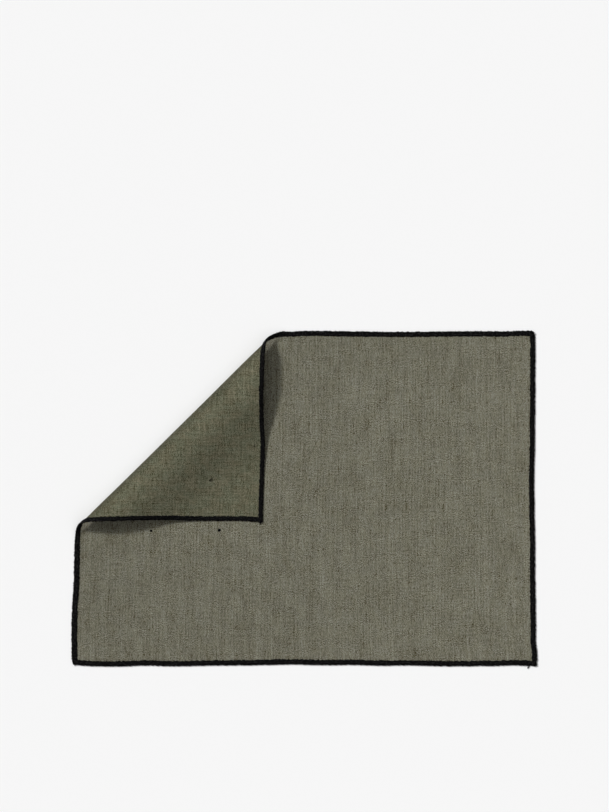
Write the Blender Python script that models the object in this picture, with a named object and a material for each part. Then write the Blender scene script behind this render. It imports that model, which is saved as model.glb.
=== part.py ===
"""A linen placemat with a black overlocked edging, laid flat with its upper left corner folded over.

The mat is first described flat, as a rectangle centred on the origin: +X to the right, +Y to the top
edge, and the face side up. flat_place() moves a point of that rectangle to the slightly uneven outline
of the real cloth, and folded_place() carries it round the soft roll of the folded corner. The cloth and
its four edging runs all go through the same two steps, so they keep their distances everywhere.
"""
import math
from collections import namedtuple
from functools import partial

import bmesh
import bpy
import numpy as np
from mathutils import Vector
from mathutils.geometry import delaunay_2d_cdt

MM = 0.001
TINY = 0.001 * MM

# How the flat triangles are made: only inside the outline, with points this close made one
INSIDE_TRIANGLES = 1
SAME_POINT = 0.0001 * MM

# The flat rectangle, before its unevenness
MAT_WIDTH = 480 * MM
MAT_DEPTH = 347 * MM

# The cloth, and the edging that wraps its raw edge
CLOTH_THICKNESS = 1.0 * MM
EDGING_WIDTH = 5.0 * MM
EDGING_THICKNESS = 2.8 * MM
EDGING_WALL = 0.6 * MM
EDGING_ROUNDING = 1.2 * MM
ROUNDING_DEGREES = (90, 60, 30)
EDGING_LIP = 0.6 * MM
EDGING_LIP_DROP = 0.18 * MM
CLEARANCE = 0.33 * MM

# The thick edging lifts the cloth off the table; the cloth sinks back to it over this distance
SINK_END = 20 * MM

# The folded corner: the roll's outermost line is straight, at this angle to +X and this far from the
# origin; the roll is a little taller at its upper right end than at its lower left one
FOLD_ANGLE = math.radians(44.57)
FOLD_REACH = 144.4 * MM
RollEnd = namedtuple("RollEnd", "along size")
ROLL_ENDS = (
    RollEnd(-182 * MM, 0.97),
    RollEnd(87 * MM, 1.12),
)

# The section across the roll: which way the cloth heads after each length of arc from where it leaves
# the table. 0 is outwards along the table, 90 straight up and 180 back over the mat.
Heading = namedtuple("Heading", "arc degrees")
ROLL_SECTION = (
    Heading(0 * MM, 0),
    Heading(5 * MM, 17),
    Heading(10 * MM, 53),
    Heading(14.8 * MM, 98),
    Heading(19.2 * MM, 134),
    Heading(24 * MM, 157),
    Heading(30.5 * MM, 172),
    Heading(37 * MM, 180),
    Heading(44.5 * MM, 189),
    Heading(54 * MM, 196.8),
    Heading(66 * MM, 200.3),
    Heading(78 * MM, 197.2),
    Heading(88 * MM, 190.3),
    Heading(99 * MM, 186),
    Heading(113 * MM, 180),
)
SECTION_STEPS = 2320

# How far each edge strays outwards from the flat rectangle, by the place along it
Stray = namedtuple("Stray", "place out")
RIGHT_EDGE = (
    Stray(-173.5 * MM, 1.5 * MM),
    Stray(-157 * MM, 1.3 * MM),
    Stray(-135 * MM, 0.4 * MM),
    Stray(-105 * MM, -0.1 * MM),
    Stray(-75 * MM, -0.5 * MM),
    Stray(-35 * MM, -0.6 * MM),
    Stray(-10 * MM, -1.2 * MM),
    Stray(25 * MM, -1.4 * MM),
    Stray(50 * MM, -0.9 * MM),
    Stray(90 * MM, -0.5 * MM),
    Stray(134 * MM, -0.3 * MM),
    Stray(164 * MM, -0.3 * MM),
    Stray(173.5 * MM, -0.7 * MM),
)
TOP_EDGE = (
    Stray(-240 * MM, -3.0 * MM),
    Stray(-218 * MM, -2.6 * MM),
    Stray(-190 * MM, -2.1 * MM),
    Stray(-152 * MM, -1.5 * MM),
    Stray(-142 * MM, -2.6 * MM),
    Stray(-126 * MM, -3.9 * MM),
    Stray(-105 * MM, -4.8 * MM),
    Stray(-65 * MM, -4.8 * MM),
    Stray(-50 * MM, -4.2 * MM),
    Stray(-40 * MM, -2.8 * MM),
    Stray(-22 * MM, -0.3 * MM),
    Stray(-7 * MM, 0.1 * MM),
    Stray(16 * MM, 0.2 * MM),
    Stray(40 * MM, -0.2 * MM),
    Stray(80 * MM, -0.6 * MM),
    Stray(122 * MM, -0.6 * MM),
    Stray(162 * MM, -0.2 * MM),
    Stray(183 * MM, 0.0 * MM),
    Stray(203 * MM, -0.3 * MM),
    Stray(232 * MM, 0.5 * MM),
    Stray(240 * MM, 0.3 * MM),
)
LEFT_EDGE = (
    Stray(-173.5 * MM, 1.1 * MM),
    Stray(-160 * MM, 1.3 * MM),
    Stray(-147 * MM, 1.5 * MM),
    Stray(-126 * MM, 1.3 * MM),
    Stray(-106 * MM, 0.5 * MM),
    Stray(-92 * MM, -0.4 * MM),
    Stray(-64 * MM, -1.2 * MM),
    Stray(-43 * MM, -1.7 * MM),
    Stray(-22 * MM, -3.0 * MM),
    Stray(-5 * MM, -4.4 * MM),
    Stray(26 * MM, -5.0 * MM),
    Stray(78 * MM, -5.7 * MM),
    Stray(103 * MM, -5.4 * MM),
    Stray(130 * MM, -5.8 * MM),
    Stray(150 * MM, -6.0 * MM),
    Stray(156 * MM, -6.0 * MM),
    Stray(160 * MM, -5.3 * MM),
    Stray(173.5 * MM, -4.8 * MM),
)
BOTTOM_EDGE = (
    Stray(-240 * MM, -0.9 * MM),
    Stray(-222 * MM, 0.2 * MM),
    Stray(-190 * MM, 0.4 * MM),
    Stray(-161 * MM, -0.4 * MM),
    Stray(-138 * MM, 0.3 * MM),
    Stray(-100 * MM, -0.4 * MM),
    Stray(-57 * MM, -0.8 * MM),
    Stray(-10 * MM, -1.5 * MM),
    Stray(27 * MM, -0.8 * MM),
    Stray(48 * MM, -1.2 * MM),
    Stray(72 * MM, -0.4 * MM),
    Stray(110 * MM, -0.5 * MM),
    Stray(150 * MM, 0.3 * MM),
    Stray(192 * MM, -0.1 * MM),
    Stray(230 * MM, -0.3 * MM),
    Stray(240 * MM, 0.4 * MM),
)

# The upright runs of edging go right through to the corners, and the level ones stop beside them
UPRIGHT_RUN_START = 0 * MM
LEVEL_RUN_START = EDGING_WIDTH + CLEARANCE

# Where the meshes have their lines: near the corners, along the straight edges, round the roll and
# across the flap
CORNER_STEPS = (0 * MM, 2.6 * MM, LEVEL_RUN_START, 12 * MM, SINK_END)
STRAIGHT_STEP = 18 * MM
RULING_CLEAR = 9 * MM
ROLL_STEP = 2 * MM
ROLL_STEP_END = 44 * MM
FLAP_STEP = 7.6 * MM
FLAP_STEP_END = 120 * MM
CROSS_STEP = 34 * MM

# The cloth and the edging thread, and the sharpest bend that is still shaded smooth
LINEN_COLOUR = (0.156, 0.149, 0.112, 1.0)
LINEN_ROUGHNESS = 0.9
THREAD_COLOUR = (0.006, 0.006, 0.0065, 1.0)
THREAD_ROUGHNESS = 0.75
SMOOTH_BEND = math.radians(35)

HALF_WIDTH = MAT_WIDTH / 2
HALF_DEPTH = MAT_DEPTH / 2
CLOTH_INSET = EDGING_WALL + CLEARANCE
SINK = EDGING_THICKNESS / 2 - CLOTH_THICKNESS / 2
FLAP_RISE = CLOTH_THICKNESS / 2 + CLEARANCE + EDGING_THICKNESS / 2 - SINK
ACROSS = (-math.sin(FOLD_ANGLE), math.cos(FOLD_ANGLE))
ALONG = (math.cos(FOLD_ANGLE), math.sin(FOLD_ANGLE))


def soft_curve(x, xs, ys):
    """A smooth curve through the points (xs, ys), level beyond its ends."""
    x = np.clip(x, xs[0], xs[-1])
    slopes = np.gradient(ys, xs)
    slopes[0] = slopes[-1] = 0
    i = np.clip(np.searchsorted(xs, x, side="right") - 1, 0, len(xs) - 2)
    h = xs[i + 1] - xs[i]
    u = (x - xs[i]) / h
    start = (2 * u**3 - 3 * u**2 + 1) * ys[i] + (u**3 - 2 * u**2 + u) * h * slopes[i]
    end = (3 * u**2 - 2 * u**3) * ys[i + 1] + (u**3 - u**2) * h * slopes[i + 1]
    return start + end


def stray(edge, place):
    places = np.array([row.place for row in edge])
    outs = np.array([row.out for row in edge])
    return soft_curve(place, places, outs)


def flat_place(x, y):
    """A point of the flat rectangle, moved with the uneven edges."""
    across = x / MAT_WIDTH + 0.5
    up = y / MAT_DEPTH + 0.5
    moved_x = across * stray(RIGHT_EDGE, y) - (1 - across) * stray(LEFT_EDGE, y)
    moved_y = up * stray(TOP_EDGE, x) - (1 - up) * stray(BOTTOM_EDGE, x)
    return x + moved_x, y + moved_y


def roll_section():
    """Arc, outward reach, height and heading at close steps round the roll."""
    arcs = np.array([row.arc for row in ROLL_SECTION])
    degrees = np.array([float(row.degrees) for row in ROLL_SECTION])
    arc = np.linspace(arcs[0], arcs[-1], SECTION_STEPS + 1)
    heading = np.radians(soft_curve(arc, arcs, degrees))
    step = arc[1] - arc[0]
    outward = np.concatenate([[0], np.cumsum((np.cos(heading[1:]) + np.cos(heading[:-1])) / 2 * step)])
    height = np.concatenate([[0], np.cumsum((np.sin(heading[1:]) + np.sin(heading[:-1])) / 2 * step)])
    height = height - height[-1] * arc / arc[-1]
    return arc, outward, height, heading


ARC, OUTWARD, HEIGHT, HEADING = roll_section()
FIRST_ARC, LAST_ARC = ARC[0], ARC[-1]
WIDEST = OUTWARD.max()


def roll_size(along):
    low, high = ROLL_ENDS
    share = (along - low.along) / (high.along - low.along)
    return low.size + (high.size - low.size) * share


def folded_place(x, y, above):
    """A point of the flat cloth, and its height above the mid-plane, where it lies when folded."""
    across = x * ACROSS[0] + y * ACROSS[1]
    along = x * ALONG[0] + y * ALONG[1]
    size = roll_size(along)
    leaves_table = FOLD_REACH - WIDEST * size
    arc = (across - leaves_table) / size
    inside = np.clip(arc, FIRST_ARC, LAST_ARC)
    heading = np.interp(inside, ARC, HEADING)
    straight_on = (arc - inside) * np.cos(heading)
    outward = np.interp(inside, ARC, OUTWARD) + straight_on
    height = np.interp(inside, ARC, HEIGHT) * size + FLAP_RISE * inside / LAST_ARC
    reach = leaves_table + outward * size - above * np.sin(heading)
    return (
        reach * ACROSS[0] + along * ALONG[0],
        reach * ACROSS[1] + along * ALONG[1],
        EDGING_THICKNESS / 2 + height + above * np.cos(heading),
        np.cos(heading),
    )


def point_from_fold(across, along):
    """The point of the flat rectangle at this distance across the fold and along it."""
    return across * ACROSS[0] + along * ALONG[0], across * ACROSS[1] + along * ALONG[1]


def edge_distance(x, y):
    return min(HALF_WIDTH - abs(x), HALF_DEPTH - abs(y))


def mat_point(x, y, above, sinks):
    """The place in space of a point of the flat rectangle. A point that sinks drops between the edgings."""
    flat_x, flat_y = flat_place(x, y)
    if sinks:
        share = (edge_distance(x, y) - EDGING_WIDTH) / (SINK_END - EDGING_WIDTH)
        *_, facing = folded_place(flat_x, flat_y, 0.0)
        above = above - SINK * min(max(share, 0), 1) * facing
    px, py, pz, _ = folded_place(flat_x, flat_y, above)
    return Vector((px, py, pz))


def ruling_places():
    """How far across the fold each mesh line lies that runs along it."""
    middle_size = roll_size(0.0)
    leaves_table = FOLD_REACH - WIDEST * middle_size
    arcs = [-ROLL_STEP]
    arcs += list(np.arange(0, ROLL_STEP_END, ROLL_STEP))
    arcs += list(np.arange(ROLL_STEP_END, FLAP_STEP_END, FLAP_STEP))
    return [leaves_table + arc * middle_size for arc in arcs]


RULINGS = ruling_places()


# Points of the flat rectangle, by their place along an edge, or their ruling, and their inset from it
def left_point(y, inset):
    return -HALF_WIDTH + inset, y


def right_point(y, inset):
    return HALF_WIDTH - inset, y


def top_point(x, inset):
    return x, HALF_DEPTH - inset


def bottom_point(x, inset):
    return x, -HALF_DEPTH + inset


def left_on_ruling(ruling, inset):
    x = -HALF_WIDTH + inset
    return x, (ruling - x * ACROSS[0]) / ACROSS[1]


def top_on_ruling(ruling, inset):
    y = HALF_DEPTH - inset
    return (ruling - y * ACROSS[1]) / ACROSS[0], y


def even_places(first, last):
    count = max(1, round(abs(last - first) / STRAIGHT_STEP))
    return list(np.linspace(first, last, count + 1))


def side_places(start, stop, gap=None):
    """Places along an edge, closer together at its corners. Inside the gap the rulings take over."""
    way = 1 if stop > start else -1
    near = [start + way * step for step in CORNER_STEPS]
    far = [stop - way * step for step in reversed(CORNER_STEPS)]
    if gap is None:
        return near + even_places(near[-1], far[0])[1:-1] + far, []
    return near + even_places(near[-1], gap[0])[1:], even_places(gap[1], far[0])[:-1] + far


Station = namedtuple("Station", "from_corner point")


def straight_stations(half_length, places, point):
    return [Station(half_length - abs(place), partial(point, place)) for place in places]


def edge_stations():
    """The stations of every edge: upright edges from the bottom up, level ones from right to left."""
    ruled = {"left": left_on_ruling, "top": top_on_ruling}
    left_gap = (
        left_on_ruling(RULINGS[0], 0)[1] - RULING_CLEAR,
        left_on_ruling(RULINGS[-1], 0)[1] + 2 * RULING_CLEAR,
    )
    top_gap = (
        top_on_ruling(RULINGS[0], 0)[0] + RULING_CLEAR,
        top_on_ruling(RULINGS[-1], 0)[0] - 2 * RULING_CLEAR,
    )
    sides = {
        "left": (HALF_DEPTH, side_places(-HALF_DEPTH, HALF_DEPTH, left_gap), left_point),
        "right": (HALF_DEPTH, side_places(-HALF_DEPTH, HALF_DEPTH), right_point),
        "top": (HALF_WIDTH, side_places(HALF_WIDTH, -HALF_WIDTH, top_gap), top_point),
        "bottom": (HALF_WIDTH, side_places(HALF_WIDTH, -HALF_WIDTH), bottom_point),
    }
    stations = {}
    for side, (half_length, (before, after), point) in sides.items():
        row = straight_stations(half_length, before, point)
        if side in ruled:
            row += [Station(SINK_END, partial(ruled[side], ruling)) for ruling in RULINGS]
        stations[side] = row + straight_stations(half_length, after, point)
    return stations


def material(name, colour, roughness):
    made = bpy.data.materials.new(name)
    made.use_nodes = True
    shader = made.node_tree.nodes["Principled BSDF"]
    shader.inputs["Base Color"].default_value = colour
    shader.inputs["Roughness"].default_value = roughness
    shader.inputs["Metallic"].default_value = 0.0
    return made


def add_object(name, points, faces, surface):
    mesh = bpy.data.meshes.new(name)
    shape = bmesh.new()
    corners = [shape.verts.new(point) for point in points]
    for face in faces:
        shape.faces.new([corners[i] for i in face])
    bmesh.ops.recalc_face_normals(shape, faces=shape.faces)
    shape.to_mesh(mesh)
    shape.free()
    mesh.materials.append(surface)
    mesh.shade_smooth()
    mesh.set_sharp_from_angle(angle=SMOOTH_BEND)
    thing = bpy.data.objects.new(name, mesh)
    bpy.context.scene.collection.objects.link(thing)
    return thing


def edging_section():
    """The edging's closed outline: how far in from the edge, and how far above the mid-plane."""
    half = EDGING_THICKNESS / 2
    slot = CLOTH_THICKNESS / 2 + CLEARANCE
    upper = [
        (EDGING_WIDTH, slot),
        (EDGING_WIDTH - EDGING_LIP_DROP, half - EDGING_LIP_DROP),
        (EDGING_WIDTH - EDGING_LIP, half),
    ]
    for degrees in ROUNDING_DEGREES:
        turn = math.radians(degrees)
        inset = EDGING_ROUNDING * (1 - math.cos(turn))
        upper.append((inset, half - EDGING_ROUNDING * (1 - math.sin(turn))))
    upper.append((0, half - EDGING_ROUNDING))
    lower = [(inset, -above) for inset, above in reversed(upper)]
    return upper + lower + [(EDGING_WALL, -slot), (EDGING_WALL, slot)]


def run_start(side):
    """How far from the corners a run of edging starts and stops."""
    return UPRIGHT_RUN_START if side in ("left", "right") else LEVEL_RUN_START


def edging_run(side, row, surface):
    """One run of edging: its section at every station, joined and closed at both ends."""
    section = edging_section()
    count = len(section)
    points, faces = [], []
    stations = [place for place in row if place.from_corner > run_start(side) - TINY]
    for place in stations:
        for inset, above in section:
            points.append(mat_point(*place.point(inset), above, sinks=False))
    for i in range(len(stations) - 1):
        for j in range(count):
            k = (j + 1) % count
            faces.append((i * count + j, i * count + k, (i + 1) * count + k, (i + 1) * count + j))
    last = (len(stations) - 1) * count
    faces.append(tuple(range(count)))
    faces.append(tuple(last + j for j in range(count)))
    return add_object("edging_" + side, points, faces, surface)


def plan_mesh():
    """The cloth's flat triangles, with lines along its edges and along the fold."""
    points, edges = [], []

    def line(*places):
        first = len(points)
        points.extend(Vector(place) for place in places)
        edges.extend((i, i + 1) for i in range(first, len(points) - 1))

    for inset in (CLOTH_INSET, EDGING_WIDTH, SINK_END):
        x, y = HALF_WIDTH - inset, HALF_DEPTH - inset
        line((-x, -y), (x, -y), (x, y), (-x, y), (-x, -y))
    for side, row in edge_stations().items():
        for place in row:
            if place.from_corner > TINY + run_start(side):
                line(place.point(CLOTH_INSET), place.point(EDGING_WIDTH))
            if place.from_corner > SINK_END - TINY:
                line(place.point(EDGING_WIDTH), place.point(SINK_END))
    for ruling in RULINGS:
        line(left_on_ruling(ruling, SINK_END), top_on_ruling(ruling, SINK_END))
    for along in np.arange(-HALF_WIDTH, HALF_DEPTH, CROSS_STEP):
        places = [point_from_fold(across, along) for across in RULINGS]
        inner = [place for place in places if edge_distance(*place) > SINK_END]
        if len(inner) > 1:
            line(inner[0], inner[-1])
    plan, _, triangles, *_ = delaunay_2d_cdt(points, edges, [], INSIDE_TRIANGLES, SAME_POINT)
    return plan, triangles


def cloth(surface):
    """The cloth: the plan mesh at its upper and lower faces, joined round its raw edge."""
    plan, triangles = plan_mesh()
    half = CLOTH_THICKNESS / 2
    lower = [mat_point(p.x, p.y, -half, sinks=True) for p in plan]
    upper = [mat_point(p.x, p.y, half, sinks=True) for p in plan]
    count = len(plan)
    faces, rim = [], {}
    for triangle in triangles:
        faces.append(tuple(count + i for i in triangle))
        faces.append(tuple(reversed(triangle)))
        for i, j in zip(triangle, triangle[1:] + triangle[:1]):
            rim[(i, j)] = (j, i) not in rim
            if not rim[(i, j)]:
                rim[(j, i)] = False
    for (i, j), open_edge in rim.items():
        if open_edge:
            faces.append((i, j, count + j, count + i))
    return add_object("cloth", lower + upper, faces, surface)


def clear_scene():
    for thing in list(bpy.data.objects):
        bpy.data.objects.remove(thing, do_unlink=True)


def main():
    clear_scene()
    linen = material("linen", LINEN_COLOUR, LINEN_ROUGHNESS)
    thread = material("edging_thread", THREAD_COLOUR, THREAD_ROUGHNESS)
    cloth(linen)
    for side, row in edge_stations().items():
        edging_run(side, row, thread)


main()
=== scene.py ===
"""The looks of a linen placemat with black overlocked edging, its upper left corner folded over."""

import math
from collections import namedtuple

import bpy
import numpy as np
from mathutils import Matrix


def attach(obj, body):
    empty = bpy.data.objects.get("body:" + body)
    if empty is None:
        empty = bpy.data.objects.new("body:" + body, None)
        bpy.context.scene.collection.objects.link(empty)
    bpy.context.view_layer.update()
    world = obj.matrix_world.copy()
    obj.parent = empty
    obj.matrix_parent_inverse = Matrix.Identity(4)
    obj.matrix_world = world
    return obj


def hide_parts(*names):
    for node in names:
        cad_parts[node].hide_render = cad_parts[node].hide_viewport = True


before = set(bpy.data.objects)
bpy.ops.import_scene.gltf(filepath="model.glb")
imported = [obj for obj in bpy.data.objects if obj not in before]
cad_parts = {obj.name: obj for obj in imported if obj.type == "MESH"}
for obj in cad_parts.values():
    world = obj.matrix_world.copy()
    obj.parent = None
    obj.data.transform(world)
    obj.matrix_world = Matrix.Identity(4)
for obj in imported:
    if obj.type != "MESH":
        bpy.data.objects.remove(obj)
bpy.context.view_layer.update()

MM = 0.001

# The mat as cut, and its edging's width, as in the solids
MAT_WIDTH = 480 * MM
MAT_DEPTH = 347 * MM
EDGING_WIDTH = 5.0 * MM

# The real cloth and edging are thinner than their solids
CLOTH_THICKNESS = 0.5 * MM
EDGING_THICKNESS = 1.8 * MM
FLAP_GAP = 0.05 * MM

# The cloth leaves the edging at half its thickness and sinks to the table over this distance
SINK_END = 45 * MM

# The folded corner: the roll's outermost line is straight, at this angle to +X and this far from
# the origin; the roll is a little taller at its upper right end than at its lower left one
FOLD_ANGLE = math.radians(44.57)
FOLD_REACH = 144.4 * MM
RollEnd = namedtuple("RollEnd", "along size")
ROLL_ENDS = (
    RollEnd(-182 * MM, 0.97),
    RollEnd(87 * MM, 1.12),
)

# How far the fold's outermost line strays outwards from straight, by the place along it: it bows
# out towards both ends, and most where the stiff edging goes round
Stray = namedtuple("Stray", "place out")
FOLD_LINE = (
    Stray(-188 * MM, 0.65 * MM),
    Stray(-178 * MM, 0.25 * MM),
    Stray(-160 * MM, 0.35 * MM),
    Stray(-130 * MM, 0.12 * MM),
    Stray(-60 * MM, 0.12 * MM),
    Stray(0 * MM, 0.2 * MM),
    Stray(30 * MM, 0.35 * MM),
    Stray(66 * MM, 0.45 * MM),
    Stray(84 * MM, 0.35 * MM),
    Stray(92 * MM, 0.95 * MM),
    Stray(105 * MM, 1.05 * MM),
)

# Towards each end the stiff edging holds the loop wider: from which place along the fold, to
# which, and how much larger the roll gets
Flare = namedtuple("Flare", "start stop size")
FLARES = (
    Flare(-150 * MM, -185 * MM, 0.35),
    Flare(68 * MM, 95 * MM, 0.25),
)

# The section across the roll: which way the cloth heads after each length of arc from where it
# leaves the table. 0 is outwards along the table, 90 straight up and 180 back over the mat.
Heading = namedtuple("Heading", "arc degrees")
ROLL_SECTION = (
    Heading(0 * MM, 0),
    Heading(5 * MM, 17),
    Heading(10 * MM, 53),
    Heading(14.8 * MM, 98),
    Heading(19.2 * MM, 134),
    Heading(24 * MM, 157),
    Heading(30.5 * MM, 172),
    Heading(37 * MM, 180),
    Heading(44.5 * MM, 189),
    Heading(54 * MM, 196.8),
    Heading(66 * MM, 200.3),
    Heading(78 * MM, 197.2),
    Heading(88 * MM, 190.3),
    Heading(99 * MM, 186),
    Heading(113 * MM, 180),
)
SECTION_STEPS = 2320

# How far each edge strays outwards from the flat rectangle, by the place along it
RIGHT_EDGE = (
    Stray(-173.5 * MM, 1.5 * MM),
    Stray(-157 * MM, 1.35 * MM),
    Stray(-152.5 * MM, 0.65 * MM),
    Stray(-135 * MM, 0.4 * MM),
    Stray(-105 * MM, -0.1 * MM),
    Stray(-75 * MM, -0.5 * MM),
    Stray(-35 * MM, -0.6 * MM),
    Stray(-10 * MM, -1.2 * MM),
    Stray(25 * MM, -1.4 * MM),
    Stray(50 * MM, -0.9 * MM),
    Stray(90 * MM, -0.5 * MM),
    Stray(134 * MM, -0.3 * MM),
    Stray(164 * MM, -0.3 * MM),
    Stray(173.5 * MM, -0.7 * MM),
)
TOP_EDGE = (
    Stray(-240 * MM, -3.05 * MM),
    Stray(-218 * MM, -2.65 * MM),
    Stray(-190 * MM, -2.15 * MM),
    Stray(-152 * MM, -1.8 * MM),
    Stray(-142 * MM, -2.8 * MM),
    Stray(-126 * MM, -3.8 * MM),
    Stray(-105 * MM, -4.85 * MM),
    Stray(-90 * MM, -4.6 * MM),
    Stray(-65 * MM, -4.2 * MM),
    Stray(-50 * MM, -3.3 * MM),
    Stray(-40 * MM, -2.3 * MM),
    Stray(-36 * MM, -1.5 * MM),
    Stray(-30 * MM, 0.0 * MM),
    Stray(-24 * MM, 0.2 * MM),
    Stray(-17 * MM, -0.5 * MM),
    Stray(-7 * MM, 0.1 * MM),
    Stray(16 * MM, 0.2 * MM),
    Stray(40 * MM, -0.2 * MM),
    Stray(80 * MM, -0.6 * MM),
    Stray(122 * MM, -0.6 * MM),
    Stray(162 * MM, -0.2 * MM),
    Stray(183 * MM, 0.0 * MM),
    Stray(203 * MM, -0.3 * MM),
    Stray(232 * MM, 0.5 * MM),
    Stray(240 * MM, 0.3 * MM),
)
LEFT_EDGE = (
    Stray(-173.5 * MM, 0.5 * MM),
    Stray(-167.5 * MM, 1.3 * MM),
    Stray(-160 * MM, 1.4 * MM),
    Stray(-147 * MM, 1.5 * MM),
    Stray(-126 * MM, 1.3 * MM),
    Stray(-106 * MM, 0.5 * MM),
    Stray(-92 * MM, -0.4 * MM),
    Stray(-64 * MM, -1.2 * MM),
    Stray(-43 * MM, -1.5 * MM),
    Stray(-22 * MM, -2.5 * MM),
    Stray(-5 * MM, -3.75 * MM),
    Stray(26 * MM, -5.95 * MM),
    Stray(78 * MM, -6.15 * MM),
    Stray(103 * MM, -5.5 * MM),
    Stray(130 * MM, -5.8 * MM),
    Stray(150 * MM, -5.95 * MM),
    Stray(156 * MM, -5.9 * MM),
    Stray(160 * MM, -5.1 * MM),
    Stray(173.5 * MM, -4.6 * MM),
)
BOTTOM_EDGE = (
    Stray(-240 * MM, -0.9 * MM),
    Stray(-222 * MM, 0.2 * MM),
    Stray(-190 * MM, 0.4 * MM),
    Stray(-161 * MM, -0.4 * MM),
    Stray(-138 * MM, 0.3 * MM),
    Stray(-100 * MM, -0.4 * MM),
    Stray(-57 * MM, -0.8 * MM),
    Stray(-10 * MM, -1.5 * MM),
    Stray(27 * MM, -0.8 * MM),
    Stray(48 * MM, -1.2 * MM),
    Stray(72 * MM, -0.4 * MM),
    Stray(110 * MM, -0.5 * MM),
    Stray(150 * MM, 0.3 * MM),
    Stray(192 * MM, -0.1 * MM),
    Stray(230 * MM, -0.3 * MM),
    Stray(240 * MM, 0.4 * MM),
)

HALF_WIDTH = MAT_WIDTH / 2
HALF_DEPTH = MAT_DEPTH / 2
SINK = EDGING_THICKNESS / 2 - CLOTH_THICKNESS / 2
FLAP_RISE = CLOTH_THICKNESS / 2 + FLAP_GAP + EDGING_THICKNESS / 2 - SINK
ACROSS = (-math.sin(FOLD_ANGLE), math.cos(FOLD_ANGLE))
ALONG = (math.cos(FOLD_ANGLE), math.sin(FOLD_ANGLE))


def soft_curve(x, xs, ys):
    """A smooth curve through the points (xs, ys), level beyond its ends."""
    x = np.clip(x, xs[0], xs[-1])
    slopes = np.gradient(ys, xs)
    slopes[0] = slopes[-1] = 0
    i = np.clip(np.searchsorted(xs, x, side="right") - 1, 0, len(xs) - 2)
    h = xs[i + 1] - xs[i]
    u = (x - xs[i]) / h
    start = (2 * u**3 - 3 * u**2 + 1) * ys[i] + (u**3 - 2 * u**2 + u) * h * slopes[i]
    end = (3 * u**2 - 2 * u**3) * ys[i + 1] + (u**3 - u**2) * h * slopes[i + 1]
    return start + end


def stray(edge, place):
    places, outs = np.array(edge).T
    return soft_curve(place, places, outs)


def flat_place(x, y):
    """A point of the flat rectangle, moved with the uneven edges."""
    across = x / MAT_WIDTH + 0.5
    up = y / MAT_DEPTH + 0.5
    moved_x = across * stray(RIGHT_EDGE, y) - (1 - across) * stray(LEFT_EDGE, y)
    moved_y = up * stray(TOP_EDGE, x) - (1 - up) * stray(BOTTOM_EDGE, x)
    return x + moved_x, y + moved_y


def running_total(slope, step):
    """The running sum of a slope over even steps, from 0."""
    return np.concatenate([[0], np.cumsum((slope[1:] + slope[:-1]) / 2 * step)])


def roll_section():
    """Arc, outward reach, height and heading at close steps round the roll."""
    arcs, degrees = np.array(ROLL_SECTION).T
    arc = np.linspace(arcs[0], arcs[-1], SECTION_STEPS + 1)
    heading = np.radians(soft_curve(arc, arcs, degrees))
    step = arc[1] - arc[0]
    outward = running_total(np.cos(heading), step)
    height = running_total(np.sin(heading), step)
    height = height - height[-1] * arc / arc[-1]
    return arc, outward, height, heading


ARC, OUTWARD, HEIGHT, HEADING = roll_section()
FIRST_ARC, LAST_ARC = ARC[0], ARC[-1]
WIDEST = OUTWARD.max()


def roll_size(along):
    low, high = ROLL_ENDS
    share = (along - low.along) / (high.along - low.along)
    size = low.size + (high.size - low.size) * share
    for flare in FLARES:
        size = size + flare.size * smooth_share(along, flare.start, flare.stop)
    return size


def fold_reach(along):
    return FOLD_REACH + stray(FOLD_LINE, along)


def fold_coordinates(x, y):
    """How far a point of the flat cloth lies across the fold, and along it."""
    return x * ACROSS[0] + y * ACROSS[1], x * ALONG[0] + y * ALONG[1]


def folded_place(x, y, above):
    """Points of the flat cloth, and their height above its middle, where they lie when folded.

    Also says which way the face looks there: 1 is up, and -1 is down, as on the folded corner.
    """
    across, along = fold_coordinates(x, y)
    size = roll_size(along)
    leaves_table = fold_reach(along) - WIDEST * size
    arc = (across - leaves_table) / size
    inside = np.clip(arc, FIRST_ARC, LAST_ARC)
    heading = np.interp(inside, ARC, HEADING)
    straight_on = (arc - inside) * np.cos(heading)
    outward = np.interp(inside, ARC, OUTWARD) + straight_on
    height = np.interp(inside, ARC, HEIGHT) * size + FLAP_RISE * inside / LAST_ARC
    reach = leaves_table + outward * size - above * np.sin(heading)
    place = np.stack(
        [
            reach * ACROSS[0] + along * ALONG[0],
            reach * ACROSS[1] + along * ALONG[1],
            EDGING_THICKNESS / 2 + height + above * np.cos(heading),
        ],
        axis=-1,
    )
    return place, np.cos(heading)


def mat_place(x, y, above):
    return folded_place(*flat_place(x, y), above)[0]


def arc_round_roll(x, y):
    """How far round the roll a point of the flat cloth lies, for a roll of size 1."""
    across, along = fold_coordinates(x, y)
    return (across - fold_reach(along)) / roll_size(along) + WIDEST


def smooth_share(value, start, stop):
    share = np.clip((value - start) / (stop - start), 0, 1)
    return share * share * (3 - 2 * share)


def uneven(seed, count):
    """Even random numbers from -1 to 1, the same each run."""
    return np.random.default_rng(seed).uniform(-1, 1, count)


# ---------------------------------------------------------------- pieces

def add_mesh(name, points, faces, looks, slots=None, attributes=()):
    mesh = bpy.data.meshes.new(name)
    mesh.from_pydata(points.tolist(), [], faces.tolist() if hasattr(faces, "tolist") else faces)
    for look in looks:
        mesh.materials.append(look)
    if slots is not None:
        mesh.polygons.foreach_set("material_index", slots)
    for label, values in attributes:
        kind, field = ("FLOAT", "value") if values.ndim == 1 else ("FLOAT_VECTOR", "vector")
        layer = mesh.attributes.new(label, kind, "POINT")
        layer.data.foreach_set(field, values.astype("f").ravel())
    mesh.validate()
    mesh.shade_smooth()
    thing = bpy.data.objects.new(name, mesh)
    bpy.context.scene.collection.objects.link(thing)
    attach(thing, "root")
    return thing


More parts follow.
